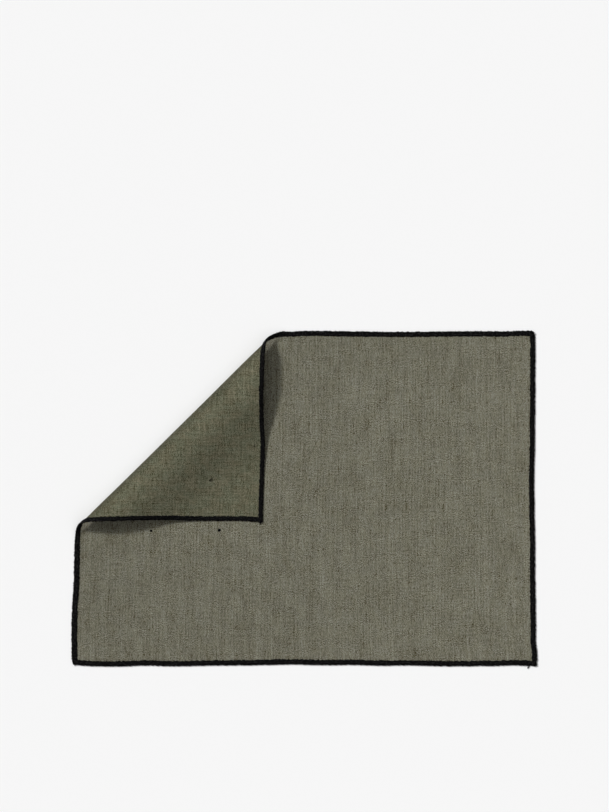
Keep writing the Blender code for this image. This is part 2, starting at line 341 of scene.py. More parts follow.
def tube_faces(rings, sides):
    """The faces round a tube of rings of points, and the two over its ends."""
    index = np.arange(rings * sides).reshape(rings, sides)
    after = np.roll(index, -1, axis=1)
    skin = np.stack([index[:-1], after[:-1], after[1:], index[1:]], -1).reshape(-1, 4)
    return skin, [index[0, ::-1].tolist(), index[-1].tolist()]


# Where the cloth is softly lighter or darker over some millimetres, and the patch of painted light
# below the folded corner: its middle, its reach each way, and how much lighter or darker it is
SoftTone = namedtuple("SoftTone", "x y reach_x reach_y tone")
SOFT_TONES_AND_PAINTED_LIGHT = (
    SoftTone(-192 * MM, -85 * MM, 26 * MM, 32 * MM, -0.045),
    SoftTone(72 * MM, 73 * MM, 6 * MM, 58 * MM, 0.04),
    SoftTone(94 * MM, 33 * MM, 5 * MM, 30 * MM, 0.035),
    SoftTone(139 * MM, -77 * MM, 8 * MM, 38 * MM, 0.04),
    SoftTone(188 * MM, -75 * MM, 6 * MM, 16 * MM, 0.04),
    SoftTone(185 * MM, -4 * MM, 10 * MM, 10 * MM, 0.035),
    SoftTone(-112 * MM, -120 * MM, 22 * MM, 45 * MM, -0.035),
    SoftTone(-10 * MM, -122 * MM, 38 * MM, 42 * MM, -0.05),
    SoftTone(15 * MM, 135 * MM, 26 * MM, 40 * MM, -0.045),
    # Painted light: lighter just below the folded corner's lower edge, against the shade that falls
    # there
    SoftTone(-108 * MM, -37 * MM, 34 * MM, 15 * MM, 0.07),
)
TONE_TO_THE_RIGHT = 0.09

# Painted shade: the reverse is darker along the outermost line of the roll, by the arc round it
RollPaintedShade = namedtuple("RollPaintedShade", "arc tone")
ROLL_PAINTED_SHADE = (
    RollPaintedShade(0 * MM, 0.0),
    RollPaintedShade(7 * MM, -0.3),
    RollPaintedShade(14 * MM, -0.5),
    RollPaintedShade(18 * MM, -0.48),
    RollPaintedShade(21 * MM, -0.38),
    RollPaintedShade(24 * MM, -0.22),
    RollPaintedShade(27 * MM, -0.09),
    RollPaintedShade(31 * MM, -0.01),
    RollPaintedShade(36 * MM, 0.0),
)

# Low swells in the cloth: their length, the way they run, their shift and their share
Swell = namedtuple("Swell", "length degrees shift share")
SWELLS = (
    Swell(118 * MM, 20, 0.4, 0.34),
    Swell(83 * MM, 105, 2.1, 0.26),
    Swell(61 * MM, 62, 4.4, 0.2),
    Swell(47 * MM, 151, 1.3, 0.2),
)
SWELL_HEIGHT = 0.22 * MM

CLOTH_STEP = 2.2 * MM
CLOTH_INSET = 0.6 * MM


def swell(x, y):
    total = 0
    for one in SWELLS:
        turn = math.radians(one.degrees)
        along = x * math.cos(turn) + y * math.sin(turn)
        total = total + one.share * np.sin(2 * math.pi * along / one.length + one.shift)
    return total


# The cloth's tone: lighter to the right, the soft patches, and the painted light below the folded
# corner
def tone(x, y):
    total = TONE_TO_THE_RIGHT * x / MAT_WIDTH
    for one in SOFT_TONES_AND_PAINTED_LIGHT:
        away = ((x - one.x) / one.reach_x) ** 2 + ((y - one.y) / one.reach_y) ** 2
        total = total + one.tone * np.exp(-away)
    return total


# The painted shade along the roll, at a place of the flat cloth
def painted_roll_shade(x, y):
    arcs, tones_and_painted_light = np.array(ROLL_PAINTED_SHADE).T
    return soft_curve(arc_round_roll(x, y), arcs, tones_and_painted_light)


def make_cloth(face, reverse):
    """A thin closed sheet. Its mesh lines run along the fold, so the roll has no jagged line."""
    columns = round((MAT_WIDTH - 2 * CLOTH_INSET) / CLOTH_STEP)
    step_x = (MAT_WIDTH - 2 * CLOTH_INSET) / columns
    step_y = step_x * math.tan(FOLD_ANGLE)
    rows = math.floor((MAT_DEPTH - 2 * CLOTH_INSET) / step_y)
    xs = -HALF_WIDTH + CLOTH_INSET + step_x * np.arange(columns + 1)
    ys = -HALF_DEPTH + CLOTH_INSET + step_y * np.arange(rows + 1)
    x, y = (grid.ravel() for grid in np.meshgrid(xs, ys))
    edge = np.minimum(HALF_WIDTH - abs(x), HALF_DEPTH - abs(y))
    sunk = smooth_share(edge, EDGING_WIDTH, SINK_END)
    flat_x, flat_y = flat_place(x, y)
    facing = folded_place(flat_x, flat_y, 0 * x)[1]
    middle = -SINK * sunk * facing + SWELL_HEIGHT / 2 * (1 + swell(x, y)) * sunk * facing
    half = CLOTH_THICKNESS / 2
    lower, _ = folded_place(flat_x, flat_y, middle - half)
    upper, _ = folded_place(flat_x, flat_y, middle + half)
    count = len(x)
    index = np.arange(count).reshape(rows + 1, columns + 1)
    a, b, c, d = index[:-1, :-1], index[:-1, 1:], index[1:, 1:], index[1:, :-1]
    halves = [np.stack(corners, -1).reshape(-1, 3) for corners in ((a, b, c), (a, c, d))]
    plan = np.concatenate(halves)
    rim = np.concatenate([index[0], index[1:, -1], index[-1, -2::-1], index[-2:0:-1, 0]])
    following = np.roll(rim, -1)
    rim_faces = np.stack([rim, following, following + count, rim + count], -1)
    faces = [*(plan + count).tolist(), *plan[:, ::-1].tolist(), *rim_faces.tolist()]
    slots = np.concatenate([np.zeros(len(plan)), np.ones(len(plan)), np.ones(len(rim))]).astype("i")
    flat = np.stack([x, y, 0 * x], -1)
    # The reverse's points also carry the painted shade along the roll
    tones_and_painted_light = np.concatenate([tone(x, y) + painted_roll_shade(flat_x, flat_y), tone(x, y)])
    attributes = (("flat", np.concatenate([flat, flat])), ("tone", tones_and_painted_light))
    points = np.concatenate([lower, upper])
    return add_mesh("placemat_cloth", points, faces, [face, reverse], slots, attributes)


# ---------------------------------------------------------------- edging

STITCH = 1.3 * MM
STEPS_A_STITCH = 6
RIB_HEIGHT = 0.36 * MM
RIB_SLANT = 0.8

# How unevenly the stitches lie: how much their thickness varies, how far their inner and outer
# ends shift, and how many stitches they drift along the edge, evened out over this many steps
RIB_VARIETY = 0.22
LIP_SHIFT = 0.45 * MM
RIM_SHIFT = 0.36 * MM
DRIFT = 2.0
DRIFT_STEPS = 37
SPARE_STITCHES = 4

# How far from the raw edge the inner ends begin, and how deep the outer ends are
LIP_START = 3.4 * MM
RIM_DEPTH = 1.2 * MM

# Each run rounds off over this length, to these shares of its width and thickness
END_ROUNDING = 1.6 * MM
END_WIDTH = 0.12
END_THICKNESS = 0.2

# The edging's section, from its inner lip over the top to the raw edge: the underside mirrors it
Section = namedtuple("Section", "inset above")
EDGING_SECTION = (
    Section(5.0 * MM, 0.1 * MM),
    Section(4.93 * MM, 0.42 * MM),
    Section(4.7 * MM, 0.68 * MM),
    Section(4.25 * MM, 0.83 * MM),
    Section(3.6 * MM, 0.9 * MM),
    Section(2.9 * MM, 0.9 * MM),
    Section(2.2 * MM, 0.86 * MM),
    Section(1.5 * MM, 0.84 * MM),
    Section(0.9 * MM, 0.74 * MM),
    Section(0.42 * MM, 0.55 * MM),
    Section(0.12 * MM, 0.29 * MM),
    Section(0.0 * MM, 0.0 * MM),
)

# The four runs. Each starts and stops this far past its corner, or short of it, and rises this
# much towards the face there, where it lies over its neighbour. Its stitches bulge out past the
# raw edge, less so on the folded part, and those on the flat part reach this much further in.
Run = namedtuple(
    "Run", "side start_past stop_past start_rise stop_rise bulge folded_bulge reach seed"
)
RUNS = (
    Run("left", 0.3 * MM, -3.2 * MM, 0.0, 0.0, 0.85 * MM, 0.2 * MM, 0.5 * MM, 11),
    Run("right", 0.5 * MM, -2.2 * MM, 0.25 * MM, -0.2 * MM, 0.4 * MM, 0.4 * MM, 0.3 * MM, 12),
    Run("top", -0.5 * MM, 0.5 * MM, 0.55 * MM, -0.5 * MM, 0.9 * MM, 0.1 * MM, -0.15 * MM, 13),
    Run("bottom", -3.6 * MM, -3.6 * MM, -0.15 * MM, -0.1 * MM, 0.45 * MM, 0.45 * MM, 0.25 * MM, 14),
)
BULGE_REACH = 3 * MM
REACH_START = 2 * MM
FOLDED_BY = 12 * MM

# Where the edging goes round the roll its stitches bunch up: the arc of the middle of that, its
# reach each way, how much thicker the edging is there and how much further in it reaches
BEND_ARC = 15 * MM
BEND_REACH = 9 * MM
BEND_SWELL = 0.5
BEND_WIDENING = 0.5 * MM
RISE_REACH = 7 * MM

# Where one thread of the left run ends and the next begins, on the folded part: it steps in there
JOIN_PLACE = 157.6 * MM
JOIN_STEP = 0.55 * MM
JOIN_REACH = 0.3 * MM
JOIN_NOTCH = 0.6 * MM
JOIN_NARROWING = 0.3
JOIN_THINNING = 0.35


def side_point(side, place, inset):
    if side == "left":
        return -HALF_WIDTH + inset, place
    if side == "right":
        return HALF_WIDTH - inset, place
    if side == "top":
        return place, HALF_DEPTH - inset
    return place, -HALF_DEPTH + inset


def section_loop():
    """The section, its outward directions, and each point's way along it from the raw edge."""
    top = np.array([(row.inset, row.above) for row in EDGING_SECTION])
    loop = np.concatenate([top, top[-2::-1] * (1, -1)])
    ahead = np.roll(loop, -1, axis=0) - np.roll(loop, 1, axis=0)
    ahead /= np.linalg.norm(ahead, axis=1)[:, None]
    outward = np.stack([-ahead[:, 1], ahead[:, 0]], -1)
    if (outward * (loop - loop.mean(axis=0))).sum() < 0:
        outward = -outward
    lengths = np.linalg.norm(np.diff(loop, axis=0), axis=1)
    travelled = np.concatenate([[0], np.cumsum(lengths)])
    return loop, outward, travelled - travelled[len(EDGING_SECTION) - 1]


def make_edging(run, thread):
    """One run of overlock stitches: a band whose ribs are the threads that wrap the edge."""
    half_length = HALF_DEPTH if run.side in ("left", "right") else HALF_WIDTH
    first, last = -half_length - run.start_past, half_length + run.stop_past
    if run.side in ("top", "bottom"):
        first, last = half_length + run.start_past, -half_length - run.stop_past
    stitches = round(abs(last - first) / STITCH)
    place = np.linspace(first, last, stitches * STEPS_A_STITCH + 1)
    from_start, from_stop = abs(place - first), abs(last - place)
    loop, outward, travelled = section_loop()

    # The ribs, and which stitch each point belongs to
    turns = from_start[:, None] / STITCH + RIB_SLANT * travelled[None, :] / EDGING_WIDTH
    drift = uneven(run.seed, len(place) + DRIFT_STEPS - 1)
    drift = np.convolve(drift, np.ones(DRIFT_STEPS) / DRIFT_STEPS, "valid")
    turns = turns + DRIFT * drift[:, None]
    drawn = stitches + 2 * SPARE_STITCHES
    stitch = np.clip(np.floor(turns).astype(int) + SPARE_STITCHES, 0, drawn - 1)
    within = 2 * (turns % 1) - 1
    thickness = 1 + RIB_VARIETY * uneven(run.seed + 20, drawn)[stitch]
    rib = RIB_HEIGHT * (thickness * np.sqrt(1 - within**2) - 1)

    lip = smooth_share(loop[:, 0], LIP_START, EDGING_WIDTH)
    rim = smooth_share(-loop[:, 0], -RIM_DEPTH, 0.0)
    lip_shift = LIP_SHIFT * uneven(run.seed + 40, drawn)[stitch]
    rim_shift = RIM_SHIFT * uneven(run.seed + 60, drawn)[stitch]
    inset = loop[None, :, 0] + rib * outward[None, :, 0]
    inset = inset + lip[None] * lip_shift - rim[None] * rim_shift

    # The band bulges on the flat part, and is thicker and wider round the roll
    arc = arc_round_roll(*side_point(run.side, place, 0 * place))
    folded = smooth_share(arc, 0, FOLDED_BY)
    bend = np.exp(-(((arc - BEND_ARC) / BEND_REACH) ** 2))
    bulge = run.bulge + (run.folded_bulge - run.bulge) * folded
    inset = inset - bulge[:, None] * (1 - smooth_share(loop[None, :, 0], 0, BULGE_REACH))
    reach = run.reach * (1 - folded) + BEND_WIDENING * bend
    inset = inset + reach[:, None] * smooth_share(loop[None, :, 0], REACH_START, EDGING_WIDTH)
    above = (loop[None, :, 1] + rib * outward[None, :, 1]) * (1 + BEND_SWELL * bend)[:, None]

    # Its ends
    ends = np.minimum(from_start, from_stop)
    round_off = np.sqrt(1 - (1 - np.clip(ends / END_ROUNDING, 0.0, 1)) ** 2)[:, None]
    middle = EDGING_WIDTH / 2
    inset = middle + (inset - middle) * (END_WIDTH + (1 - END_WIDTH) * round_off)
    above = above * (END_THICKNESS + (1 - END_THICKNESS) * round_off)
    if run.side == "left":
        step = smooth_share(place, JOIN_PLACE - JOIN_REACH, JOIN_PLACE + JOIN_REACH)
        notch = np.exp(-(((place - JOIN_PLACE) / JOIN_NOTCH) ** 2))[:, None]
        inset = inset + JOIN_STEP * step[:, None]
        inset = middle + (inset - middle) * (1 - JOIN_NARROWING * notch)
        above = above * (1 - JOIN_THINNING * notch)
    rise = run.start_rise * (1 - smooth_share(from_start, 0, RISE_REACH))
    rise = rise + run.stop_rise * (1 - smooth_share(from_stop, 0, RISE_REACH))
    above = above + rise[:, None]

    points = mat_place(*side_point(run.side, place[:, None] + 0 * inset, inset), above)
    rows, count = len(place), len(loop)
    skin, ends = tube_faces(rows, count)
    if run.side in ("right", "top"):
        skin = skin[:, ::-1]
    faces = [*skin.tolist(), *(end[::-1] for end in ends)]
    along = np.repeat(from_start, count)
    around = np.tile(travelled, rows)
    attributes = [("threads", np.stack([along, around, 0 * along], -1))]
    name = "stitched_edging_" + run.side
    return add_mesh(name, points.reshape(-1, 3), faces, [thread], attributes=attributes)


# ---------------------------------------------------------------- small things

# Loose ends and a knot of the edging thread: tapered twists of thread, thickest at the first of
# these points, which are in millimetres
Tuft = namedtuple("Tuft", "name thickness points")
TUFTS = (
    Tuft(
        "tail_at_flap_tip",
        1.6 * MM,
        ((-45.9, -23.2, 1.5), (-45.9, -25.2, 1.3), (-46.5, -27.0, 0.9)),
    ),
    Tuft(
        "tail_at_lower_right",
        1.9 * MM,
        ((239.4, -170.6, 1.2), (240.4, -172.2, 1.2), (240.9, -173.6, 0.9)),
    ),
    Tuft(
        "tail_at_lower_left",
        1.0 * MM,
        ((-238.4, -171.2, 1.1), (-238.9, -172.9, 0.9), (-238.2, -174.0, 0.6)),
    ),
    Tuft(
        "bump_on_left_run",
        1.5 * MM,
        ((-239.8, -165.7, 1.2), (-241.2, -166.0, 1.1), (-242.4, -165.9, 0.8)),
    ),
    Tuft(
        "loose_end_below",
        1.25 * MM,
        ((232.0, -176.4, 0.4), (233.0, -175.1, 0.5), (234.6, -173.0, 0.9)),
    ),
    Tuft(
        "knot_at_upper_right",
        2.2 * MM,
        ((236.2, 172.6, 2.2), (237.6, 172.8, 2.4), (238.7, 172.5, 1.7)),
    ),
)
TUFT_STEPS = 14
TUFT_SIDES = 10
TUFT_TWISTS = 2.5
PLY_DEPTH = 0.22
TUFT_TAPER = 0.75
TUFT_PATTERN = 5 * MM

# Small black knots on the face, and a dark fibre and a dark slub on the folded part
Knot = namedtuple("Knot", "x y radius height")
KNOTS = (
    Knot(-159.3 * MM, -33.4 * MM, 1.35 * MM, 0.6 * MM),
    Knot(-88.5 * MM, -32.7 * MM, 1.7 * MM, 0.7 * MM),
)
KNOT_RINGS = 6
KNOT_SIDES = 20
KNOT_LUMPS = 0.1
KNOT_LOBES = 0.08
KNOT_TOP = 0.02 * MM
KNOT_SUNK = 0.2 * MM
KNOT_SEED = 80
Fibre = namedtuple("Fibre", "name x y degrees length thickness")
FIBRES = (
    Fibre("dark_fibre", -96.9 * MM, 20.2 * MM, 42, 5.0 * MM, 0.85 * MM),
    Fibre("dark_slub", -52.0 * MM, 55.2 * MM, 75, 2.6 * MM, 0.8 * MM),
)
FIBRE_LIFT = 0.3 * MM

# The cloth's height at a place is its highest point within this distance
NEAR = 1.8 * MM


def smooth_line(points, count):
    """A smooth curve through a few points."""
    points = np.asarray(points)
    knots = np.linspace(0, 1, len(points))
    curves = [np.polyfit(knots, values, len(points) - 1) for values in points.T]
    return np.stack([np.polyval(curve, np.linspace(0, 1, count)) for curve in curves], -1)


def add_tuft(name, thickness, points, look):
    """A short end of thread, pointed at its far end, with the twist of its plies."""
    line = smooth_line(points, TUFT_STEPS)
    ahead = np.gradient(line, axis=0)
    ahead /= np.linalg.norm(ahead, axis=1)[:, None]
    side = np.cross(ahead, (0, 0, 1.0))
    side /= np.linalg.norm(side, axis=1)[:, None]
    up = np.cross(side, ahead)
    share = np.linspace(0, 1, TUFT_STEPS)[:, None]
    turn = np.linspace(0, 2 * math.pi, TUFT_SIDES, endpoint=False)[None, :]
    plies = 1 + PLY_DEPTH * np.cos(2 * turn + 2 * math.pi * TUFT_TWISTS * share)
    radius = thickness / 2 * plies * (1 - TUFT_TAPER * share**2)
    ring = np.cos(turn)[..., None] * side[:, None] + np.sin(turn)[..., None] * up[:, None]
    tube = (line[:, None] + radius[..., None] * ring).reshape(-1, 3)
    skin, ends = tube_faces(TUFT_STEPS, TUFT_SIDES)
    along = np.repeat(share[:, 0] * TUFT_PATTERN, TUFT_SIDES)
    around = np.tile(turn[0] * MM, TUFT_STEPS)
    attributes = [("threads", np.stack([along, around, 0 * along], -1))]
    return add_mesh(name, tube, [*skin.tolist(), *ends], [look], attributes=attributes)


def add_knot(name, knot, floor, look, seed):
    """A small domed knot of thread that sits on the cloth."""
    lumps = KNOT_LUMPS * uneven(seed, KNOT_SIDES)
    turn = np.linspace(0, 2 * math.pi, KNOT_SIDES, endpoint=False)
    rings = []
    for i in range(KNOT_RINGS):
        rise = math.radians(90 * i / (KNOT_RINGS - 1))
        lobes = KNOT_LOBES * np.cos(3 * turn + 2 * rise)
        radius = np.maximum(knot.radius * math.cos(rise) * (1 + lumps + lobes), KNOT_TOP)
        height = floor - KNOT_SUNK + (knot.height + KNOT_SUNK) * math.sin(rise)
        x, y = knot.x + radius * np.cos(turn), knot.y + radius * np.sin(turn)
        rings.append(np.stack([x, y, 0 * turn + height], -1))
    points = np.concatenate(rings)
    skin, ends = tube_faces(KNOT_RINGS, KNOT_SIDES)
    faces = [*skin.tolist(), *ends]
    threads = points - points.mean(axis=0)
    return add_mesh(name, points, faces, [look], attributes=[("threads", threads)])


def upper_height(cloth, x, y):
    """How high the cloth's uppermost layer lies at a place seen from above."""
    points = np.empty(len(cloth.data.vertices) * 3, "f")
    cloth.data.vertices.foreach_get("co", points)
    points = points.reshape(-1, 3)
    near = np.hypot(points[:, 0] - x, points[:, 1] - y) < NEAR
    return float(points[near, 2].max())


def make_small_things(cloth, thread):
    """Loose ends of thread, knots and fibres."""
    made = []
    for tuft in TUFTS:
        made.append(add_tuft(tuft.name, tuft.thickness, np.array(tuft.points) * MM, thread))
    for i, knot in enumerate(KNOTS):
        floor = upper_height(cloth, knot.x, knot.y)
        made.append(add_knot(f"small_knot_{i + 1}", knot, floor, thread, KNOT_SEED + i))
    for fibre in FIBRES:
        turn = math.radians(fibre.degrees)
        reach = np.array([math.cos(turn), math.sin(turn), 0]) * fibre.length / 2
        height = upper_height(cloth, fibre.x, fibre.y) + FIBRE_LIFT
        middle = np.array([fibre.x, fibre.y, height])
        points = [middle - reach, middle, middle + reach]
        made.append(add_tuft(fibre.name, fibre.thickness, points, thread))
    return made


# ---------------------------------------------------------------- materials

def add_node(tree, kind, *values, settings=(), **named):
    """A shader node. Its sockets take plain values or other nodes' outputs, by order or by name."""
    made = tree.nodes.new("ShaderNode" + kind)
    for key, value in dict(settings).items():
        setattr(made, key, value)
    pairs = [(made.inputs[i], value) for i, value in enumerate(values) if value is not None]
    pairs += [(made.inputs[name.replace("_", " ")], value) for name, value in named.items()]
    for socket, value in pairs:
        if isinstance(value, bpy.types.NodeSocket):
            tree.links.new(value, socket)
        else:
            socket.default_value = value
    return made


def maths(tree, operation, *values, clamp=False):
    settings = {"operation": operation, "use_clamp": clamp}
    return add_node(tree, "Math", *values, settings=settings).outputs[0]


def vector_maths(tree, operation, *values, **named):
    settings = {"operation": operation}
    return add_node(tree, "VectorMath", *values, settings=settings, **named).outputs[0]


def total_of(tree, first, *others):
    for other in others:
        first = maths(tree, "ADD", first, other)
    return first


def scaled_to(tree, value, amount):
    return maths(tree, "MULTIPLY", value, amount)


def between(tree, value, low, high):
    """0 below low, 1 above high, and smooth between."""
    settings = {"interpolation_type": "SMOOTHSTEP", "clamp": True}
    return add_node(tree, "MapRange", value, low, high, settings=settings).outputs[0]


def attribute(tree, label):
    """A value kept at each point of the mesh."""
    settings = {"attribute_name": label, "attribute_type": "GEOMETRY"}
    return add_node(tree, "Attribute", settings=settings)


def place_in_mm(tree, label):
    """A place kept at each point of the mesh, in millimetres."""
    return vector_maths(tree, "SCALE", attribute(tree, label).outputs["Vector"], Scale=1000.0)


def threads_noise(tree, place, wide, long, detail=1.0, shift=0.0):
    """Noise stretched along a thread, from -0.5 to 0.5. wide and long are in millimetres."""
    scaled = vector_maths(tree, "MULTIPLY", place, (1 / wide, 1 / long, 1.0))
    moved = vector_maths(tree, "ADD", scaled, (shift, 0.7 * shift, 0.0))
    settings = {"noise_dimensions": "2D"}
    noise = add_node(tree, "TexNoise", settings=settings, Vector=moved, Scale=1.0, Detail=detail)
    return maths(tree, "SUBTRACT", noise.outputs[0], 0.5)


def slub_share(tree, place, slub):
    noise = threads_noise(tree, place, slub.wide, slub.long, shift=slub.shift)
    return between(tree, noise, slub.start, slub.full)


def grey(tree, value):
    """A colour with this value in all its parts."""
    return add_node(tree, "CombineColor", value, value, value).outputs[0]


def mixed(tree, share, first, second, blend="MIX"):
    settings = {"data_type": "RGBA", "blend_type": blend, "clamp_result": False}
    made = add_node(tree, "Mix", settings=settings)
    colours = ((made.inputs[6], first), (made.inputs[7], second))
    for socket, value in ((made.inputs[0], share), *colours):
        if isinstance(value, bpy.types.NodeSocket):
            tree.links.new(value, socket)
        else:
            socket.default_value = value
    return made.outputs[2]


def new_material(name):
    made = bpy.data.materials.new(name)
    made.use_nodes = True
    return made, made.node_tree, made.node_tree.nodes["Principled BSDF"]


# The linen's unevenness: noise this wide across the mat and this long up it, in millimetres, and
# how strongly it shows in each side
Unevenness = namedtuple("Unevenness", "what wide long detail shift face reverse")
UNEVENNESS = (
    Unevenness("grain", 0.66, 1.1, 2, 1.7, 3.8, 3.4),
    Unevenness("short warp threads", 0.9, 5, 1, 5.9, 0.35, 0.6),
    Unevenness("warp threads", 0.95, 14, 0, 10.3, 0.33, 0.35),
    Unevenness("long warp threads", 1.0, 60, 1, 3.3, 0.4, 0.4),
    Unevenness("warp bands", 2.5, 40, 0, 13.7, 0.25, 0.2),
    Unevenness("short weft threads", 8, 0.95, 1, 2.3, 0.33, 0.65),
    Unevenness("long weft threads", 30, 1.0, 0, 6.1, 0.27, 0.65),
    Unevenness("spots", 3, 4, 0, 16.1, 0.25, 0.4),
    Unevenness("streaks", 9, 90, 1, 7.7, 0.3, 0.15),
    Unevenness("mottle", 22, 30, 2, 4.4, 0.3, 0.25),
)

# One side of the linen: its weft and warp colours, how much its red and blue vary for each step
# of its green, how strongly its slubs and dark flecks show, and the hues that it drifts between
Linen = namedtuple("Linen", "name weft_colour warp_colour red_share blue_share slubs flecks hues")
FACE = Linen(
    "linen_face",
    weft_colour=(0.169, 0.162, 0.117, 1),
    warp_colour=(0.173, 0.166, 0.124, 1),
    red_share=0.94,
    blue_share=1.155,
    slubs=0.42,
    flecks=0.75,
    hues=((1.004, 1.0, 0.98, 1), (0.996, 1.0, 1.02, 1)),
)
REVERSE = Linen(
    "linen_reverse",
    weft_colour=(0.128, 0.1247, 0.077, 1),
    warp_colour=(0.129, 0.1257, 0.0825, 1),
    red_share=1.0,
    blue_share=1.13,
    slubs=0.18,
    flecks=0.2,
    hues=((1.03, 0.99, 0.98, 1), (0.97, 1.01, 1.02, 1)),
)

# The threads' pitch in millimetres, how far they stray from even places, and how much lighter the
# threads' tops are than this mean
THREAD_PITCH = 0.68
THREAD_WANDER = 9.0
THREAD_JITTER = 7.0
THREAD_TOP_MEAN = 0.4
THREAD_TOP_SHARE = 0.18
WARP_OVER = 0.35
DARKEST = 0.12

# The warp lies a little denser in bands this far apart
REED_PITCH = 3.12
REED_SHARE = 0.06

# How the threads and hues drift from even: noise this wide and this long, in millimetres
Drift = namedtuple("Drift", "wide long detail shift")
WARP_DRIFT = Drift(1.7, 9.0, 1.0, 3.1)
WEFT_DRIFT = Drift(9.0, 1.7, 1.0, 8.3)
JITTER = Drift(0.8, 0.9, 1.0, 11.3)
HUE_DRIFT = Drift(9.0, 14.0, 2.0, 6.6)
HUE_LIMIT = 0.2

# Where threads are thicker or darker: noise this wide and long, in millimetres, that begins to
# show at one level and is full at the next
Slub = namedtuple("Slub", "wide long shift start full")
SLUBS = Slub(1.1, 9.5, 9.1, 0.17, 0.27)
DARK_THREADS = Slub(0.9, 22.0, 15.7, 0.18, 0.27)
PALE_SLUBS = Slub(1.2, 12.0, 12.9, 0.16, 0.27)
DARK_THREAD_SHARE = 0.8
PALE_SLUB_TONE = 0.2

# Small dark flecks: cells a millimetre each way, how near a cell's middle is dark, and which
# cells are
FLECK_CELLS = (0.2, 0.12, 1.0)
FLECK_NEAR = (0.86, 0.96)
FLECK_GATE = (0.25, 0.95)

# How much the grain, the slubs and the threads raise the weave, and how deep it is
GRAIN_RISE = 0.9
SLUB_RISE = 0.8
THREAD_RISE = 0.5
WEAVE_DEPTH = 0.16 * MM


def woven_threads(tree, place):
    """How near a thread's top a place is, where the warp is uppermost, and how the warp drifts."""
    across, up = add_node(tree, "SeparateXYZ", place).outputs[:2]
    warp_off = threads_noise(tree, place, *WARP_DRIFT)
    weft_off = threads_noise(tree, place, *WEFT_DRIFT)
    jitter = scaled_to(tree, threads_noise(tree, place, *JITTER), THREAD_JITTER)
    waves = []
    for way, off in ((across, warp_off), (up, weft_off)):
        even = scaled_to(tree, way, math.pi / THREAD_PITCH)
        phase = total_of(tree, even, scaled_to(tree, off, THREAD_WANDER), jitter)
        waves.append(maths(tree, "SINE", phase))
    crossing = maths(tree, "MULTIPLY", *waves)
    thread_top = maths(tree, "ABSOLUTE", crossing)
    warp_over = between(tree, crossing, -WARP_OVER, WARP_OVER)
    reed_phase = total_of(tree, scaled_to(tree, across, 2 * math.pi / REED_PITCH), warp_off)
    return thread_top, warp_over, maths(tree, "SINE", reed_phase)


def small_flecks(tree, place):
    """1 in small dark flecks, and 0 elsewhere."""
    cell_place = vector_maths(tree, "MULTIPLY", place, FLECK_CELLS)
    settings = {"voronoi_dimensions": "2D"}
    cells = add_node(tree, "TexVoronoi", settings=settings, Vector=cell_place, Scale=1.0)
    near_cell = between(tree, maths(tree, "SUBTRACT", 1.0, cells.outputs["Distance"]), *FLECK_NEAR)
    chance = add_node(tree, "SeparateColor", cells.outputs["Color"]).outputs[0]
    return maths(tree, "MULTIPLY", near_cell, between(tree, chance, *FLECK_GATE))


def linen_material(side):
    """Plain-woven linen: uneven threads both ways, slubs along the warp, small dark flecks."""
    made, tree, shader = new_material(side.name)
    place = place_in_mm(tree, "flat")
    thread_top, warp_over, reed = woven_threads(tree, place)
    slubs = slub_share(tree, place, SLUBS)
    bright = total_of(
        tree,
        1.0,
        scaled_to(tree, maths(tree, "SUBTRACT", thread_top, THREAD_TOP_MEAN), THREAD_TOP_SHARE),
        scaled_to(tree, reed, REED_SHARE),
        scaled_to(tree, slub_share(tree, place, PALE_SLUBS), PALE_SLUB_TONE),
        scaled_to(tree, slubs, -side.slubs),
        scaled_to(tree, slub_share(tree, place, DARK_THREADS), -DARK_THREAD_SHARE * side.slubs),
        scaled_to(tree, small_flecks(tree, place), -side.flecks),
    )
    noises = {}
    for one in UNEVENNESS:
        noise = threads_noise(tree, place, one.wide, one.long, one.detail, one.shift)
        noises[one.what] = noise
        strength = one.face if side is FACE else one.reverse
        bright = maths(tree, "ADD", bright, scaled_to(tree, noise, strength))
    bright = maths(tree, "MAXIMUM", bright, DARKEST)
    blue = maths(tree, "MULTIPLY_ADD", bright, side.blue_share, 1 - side.blue_share)
    red = maths(tree, "MULTIPLY_ADD", bright, side.red_share, 1 - side.red_share)
    light = add_node(tree, "CombineColor", red, bright, blue).outputs[0]
    colour = mixed(tree, warp_over, side.weft_colour, side.warp_colour)
    hue = between(tree, threads_noise(tree, place, *HUE_DRIFT), -HUE_LIMIT, HUE_LIMIT)
    colour = mixed(tree, 1.0, colour, mixed(tree, hue, *side.hues), "MULTIPLY")
    # Each point's tone, with the painted shade along the roll and the painted light below the
    # folded corner
    shade = maths(tree, "ADD", 1.0, attribute(tree, "tone").outputs["Fac"])
    colour = mixed(tree, 1.0, colour, grey(tree, shade), "MULTIPLY")
    tree.links.new(mixed(tree, 1.0, colour, light, "MULTIPLY"), shader.inputs["Base Color"])

    grain = noises["grain"]
    height = total_of(
        tree,
        thread_top,
        scaled_to(tree, grain, GRAIN_RISE),
        scaled_to(tree, slubs, SLUB_RISE),
        scaled_to(tree, noises["short warp threads"], THREAD_RISE),
    )
    bump = add_node(tree, "Bump", Strength=0.55, Distance=WEAVE_DEPTH, Height=height)
    tree.links.new(bump.outputs[0], shader.inputs["Normal"])
    rough = maths(tree, "ADD", 0.9, scaled_to(tree, grain, 0.15), clamp=True)
    tree.links.new(rough, shader.inputs["Roughness"])
    shader.inputs["Specular IOR Level"].default_value = 0.12
    shader.inputs["Sheen Weight"].default_value = 0.02
    shader.inputs["Sheen Roughness"].default_value = 0.5

    # Thin cloth: some of the light goes through it
    shader.inputs["Subsurface Weight"].default_value = 0.35
    shader.inputs["Subsurface Radius"].default_value = (1.0, 0.95, 0.85)
    shader.inputs["Subsurface Scale"].default_value = 6 * MM
    return made


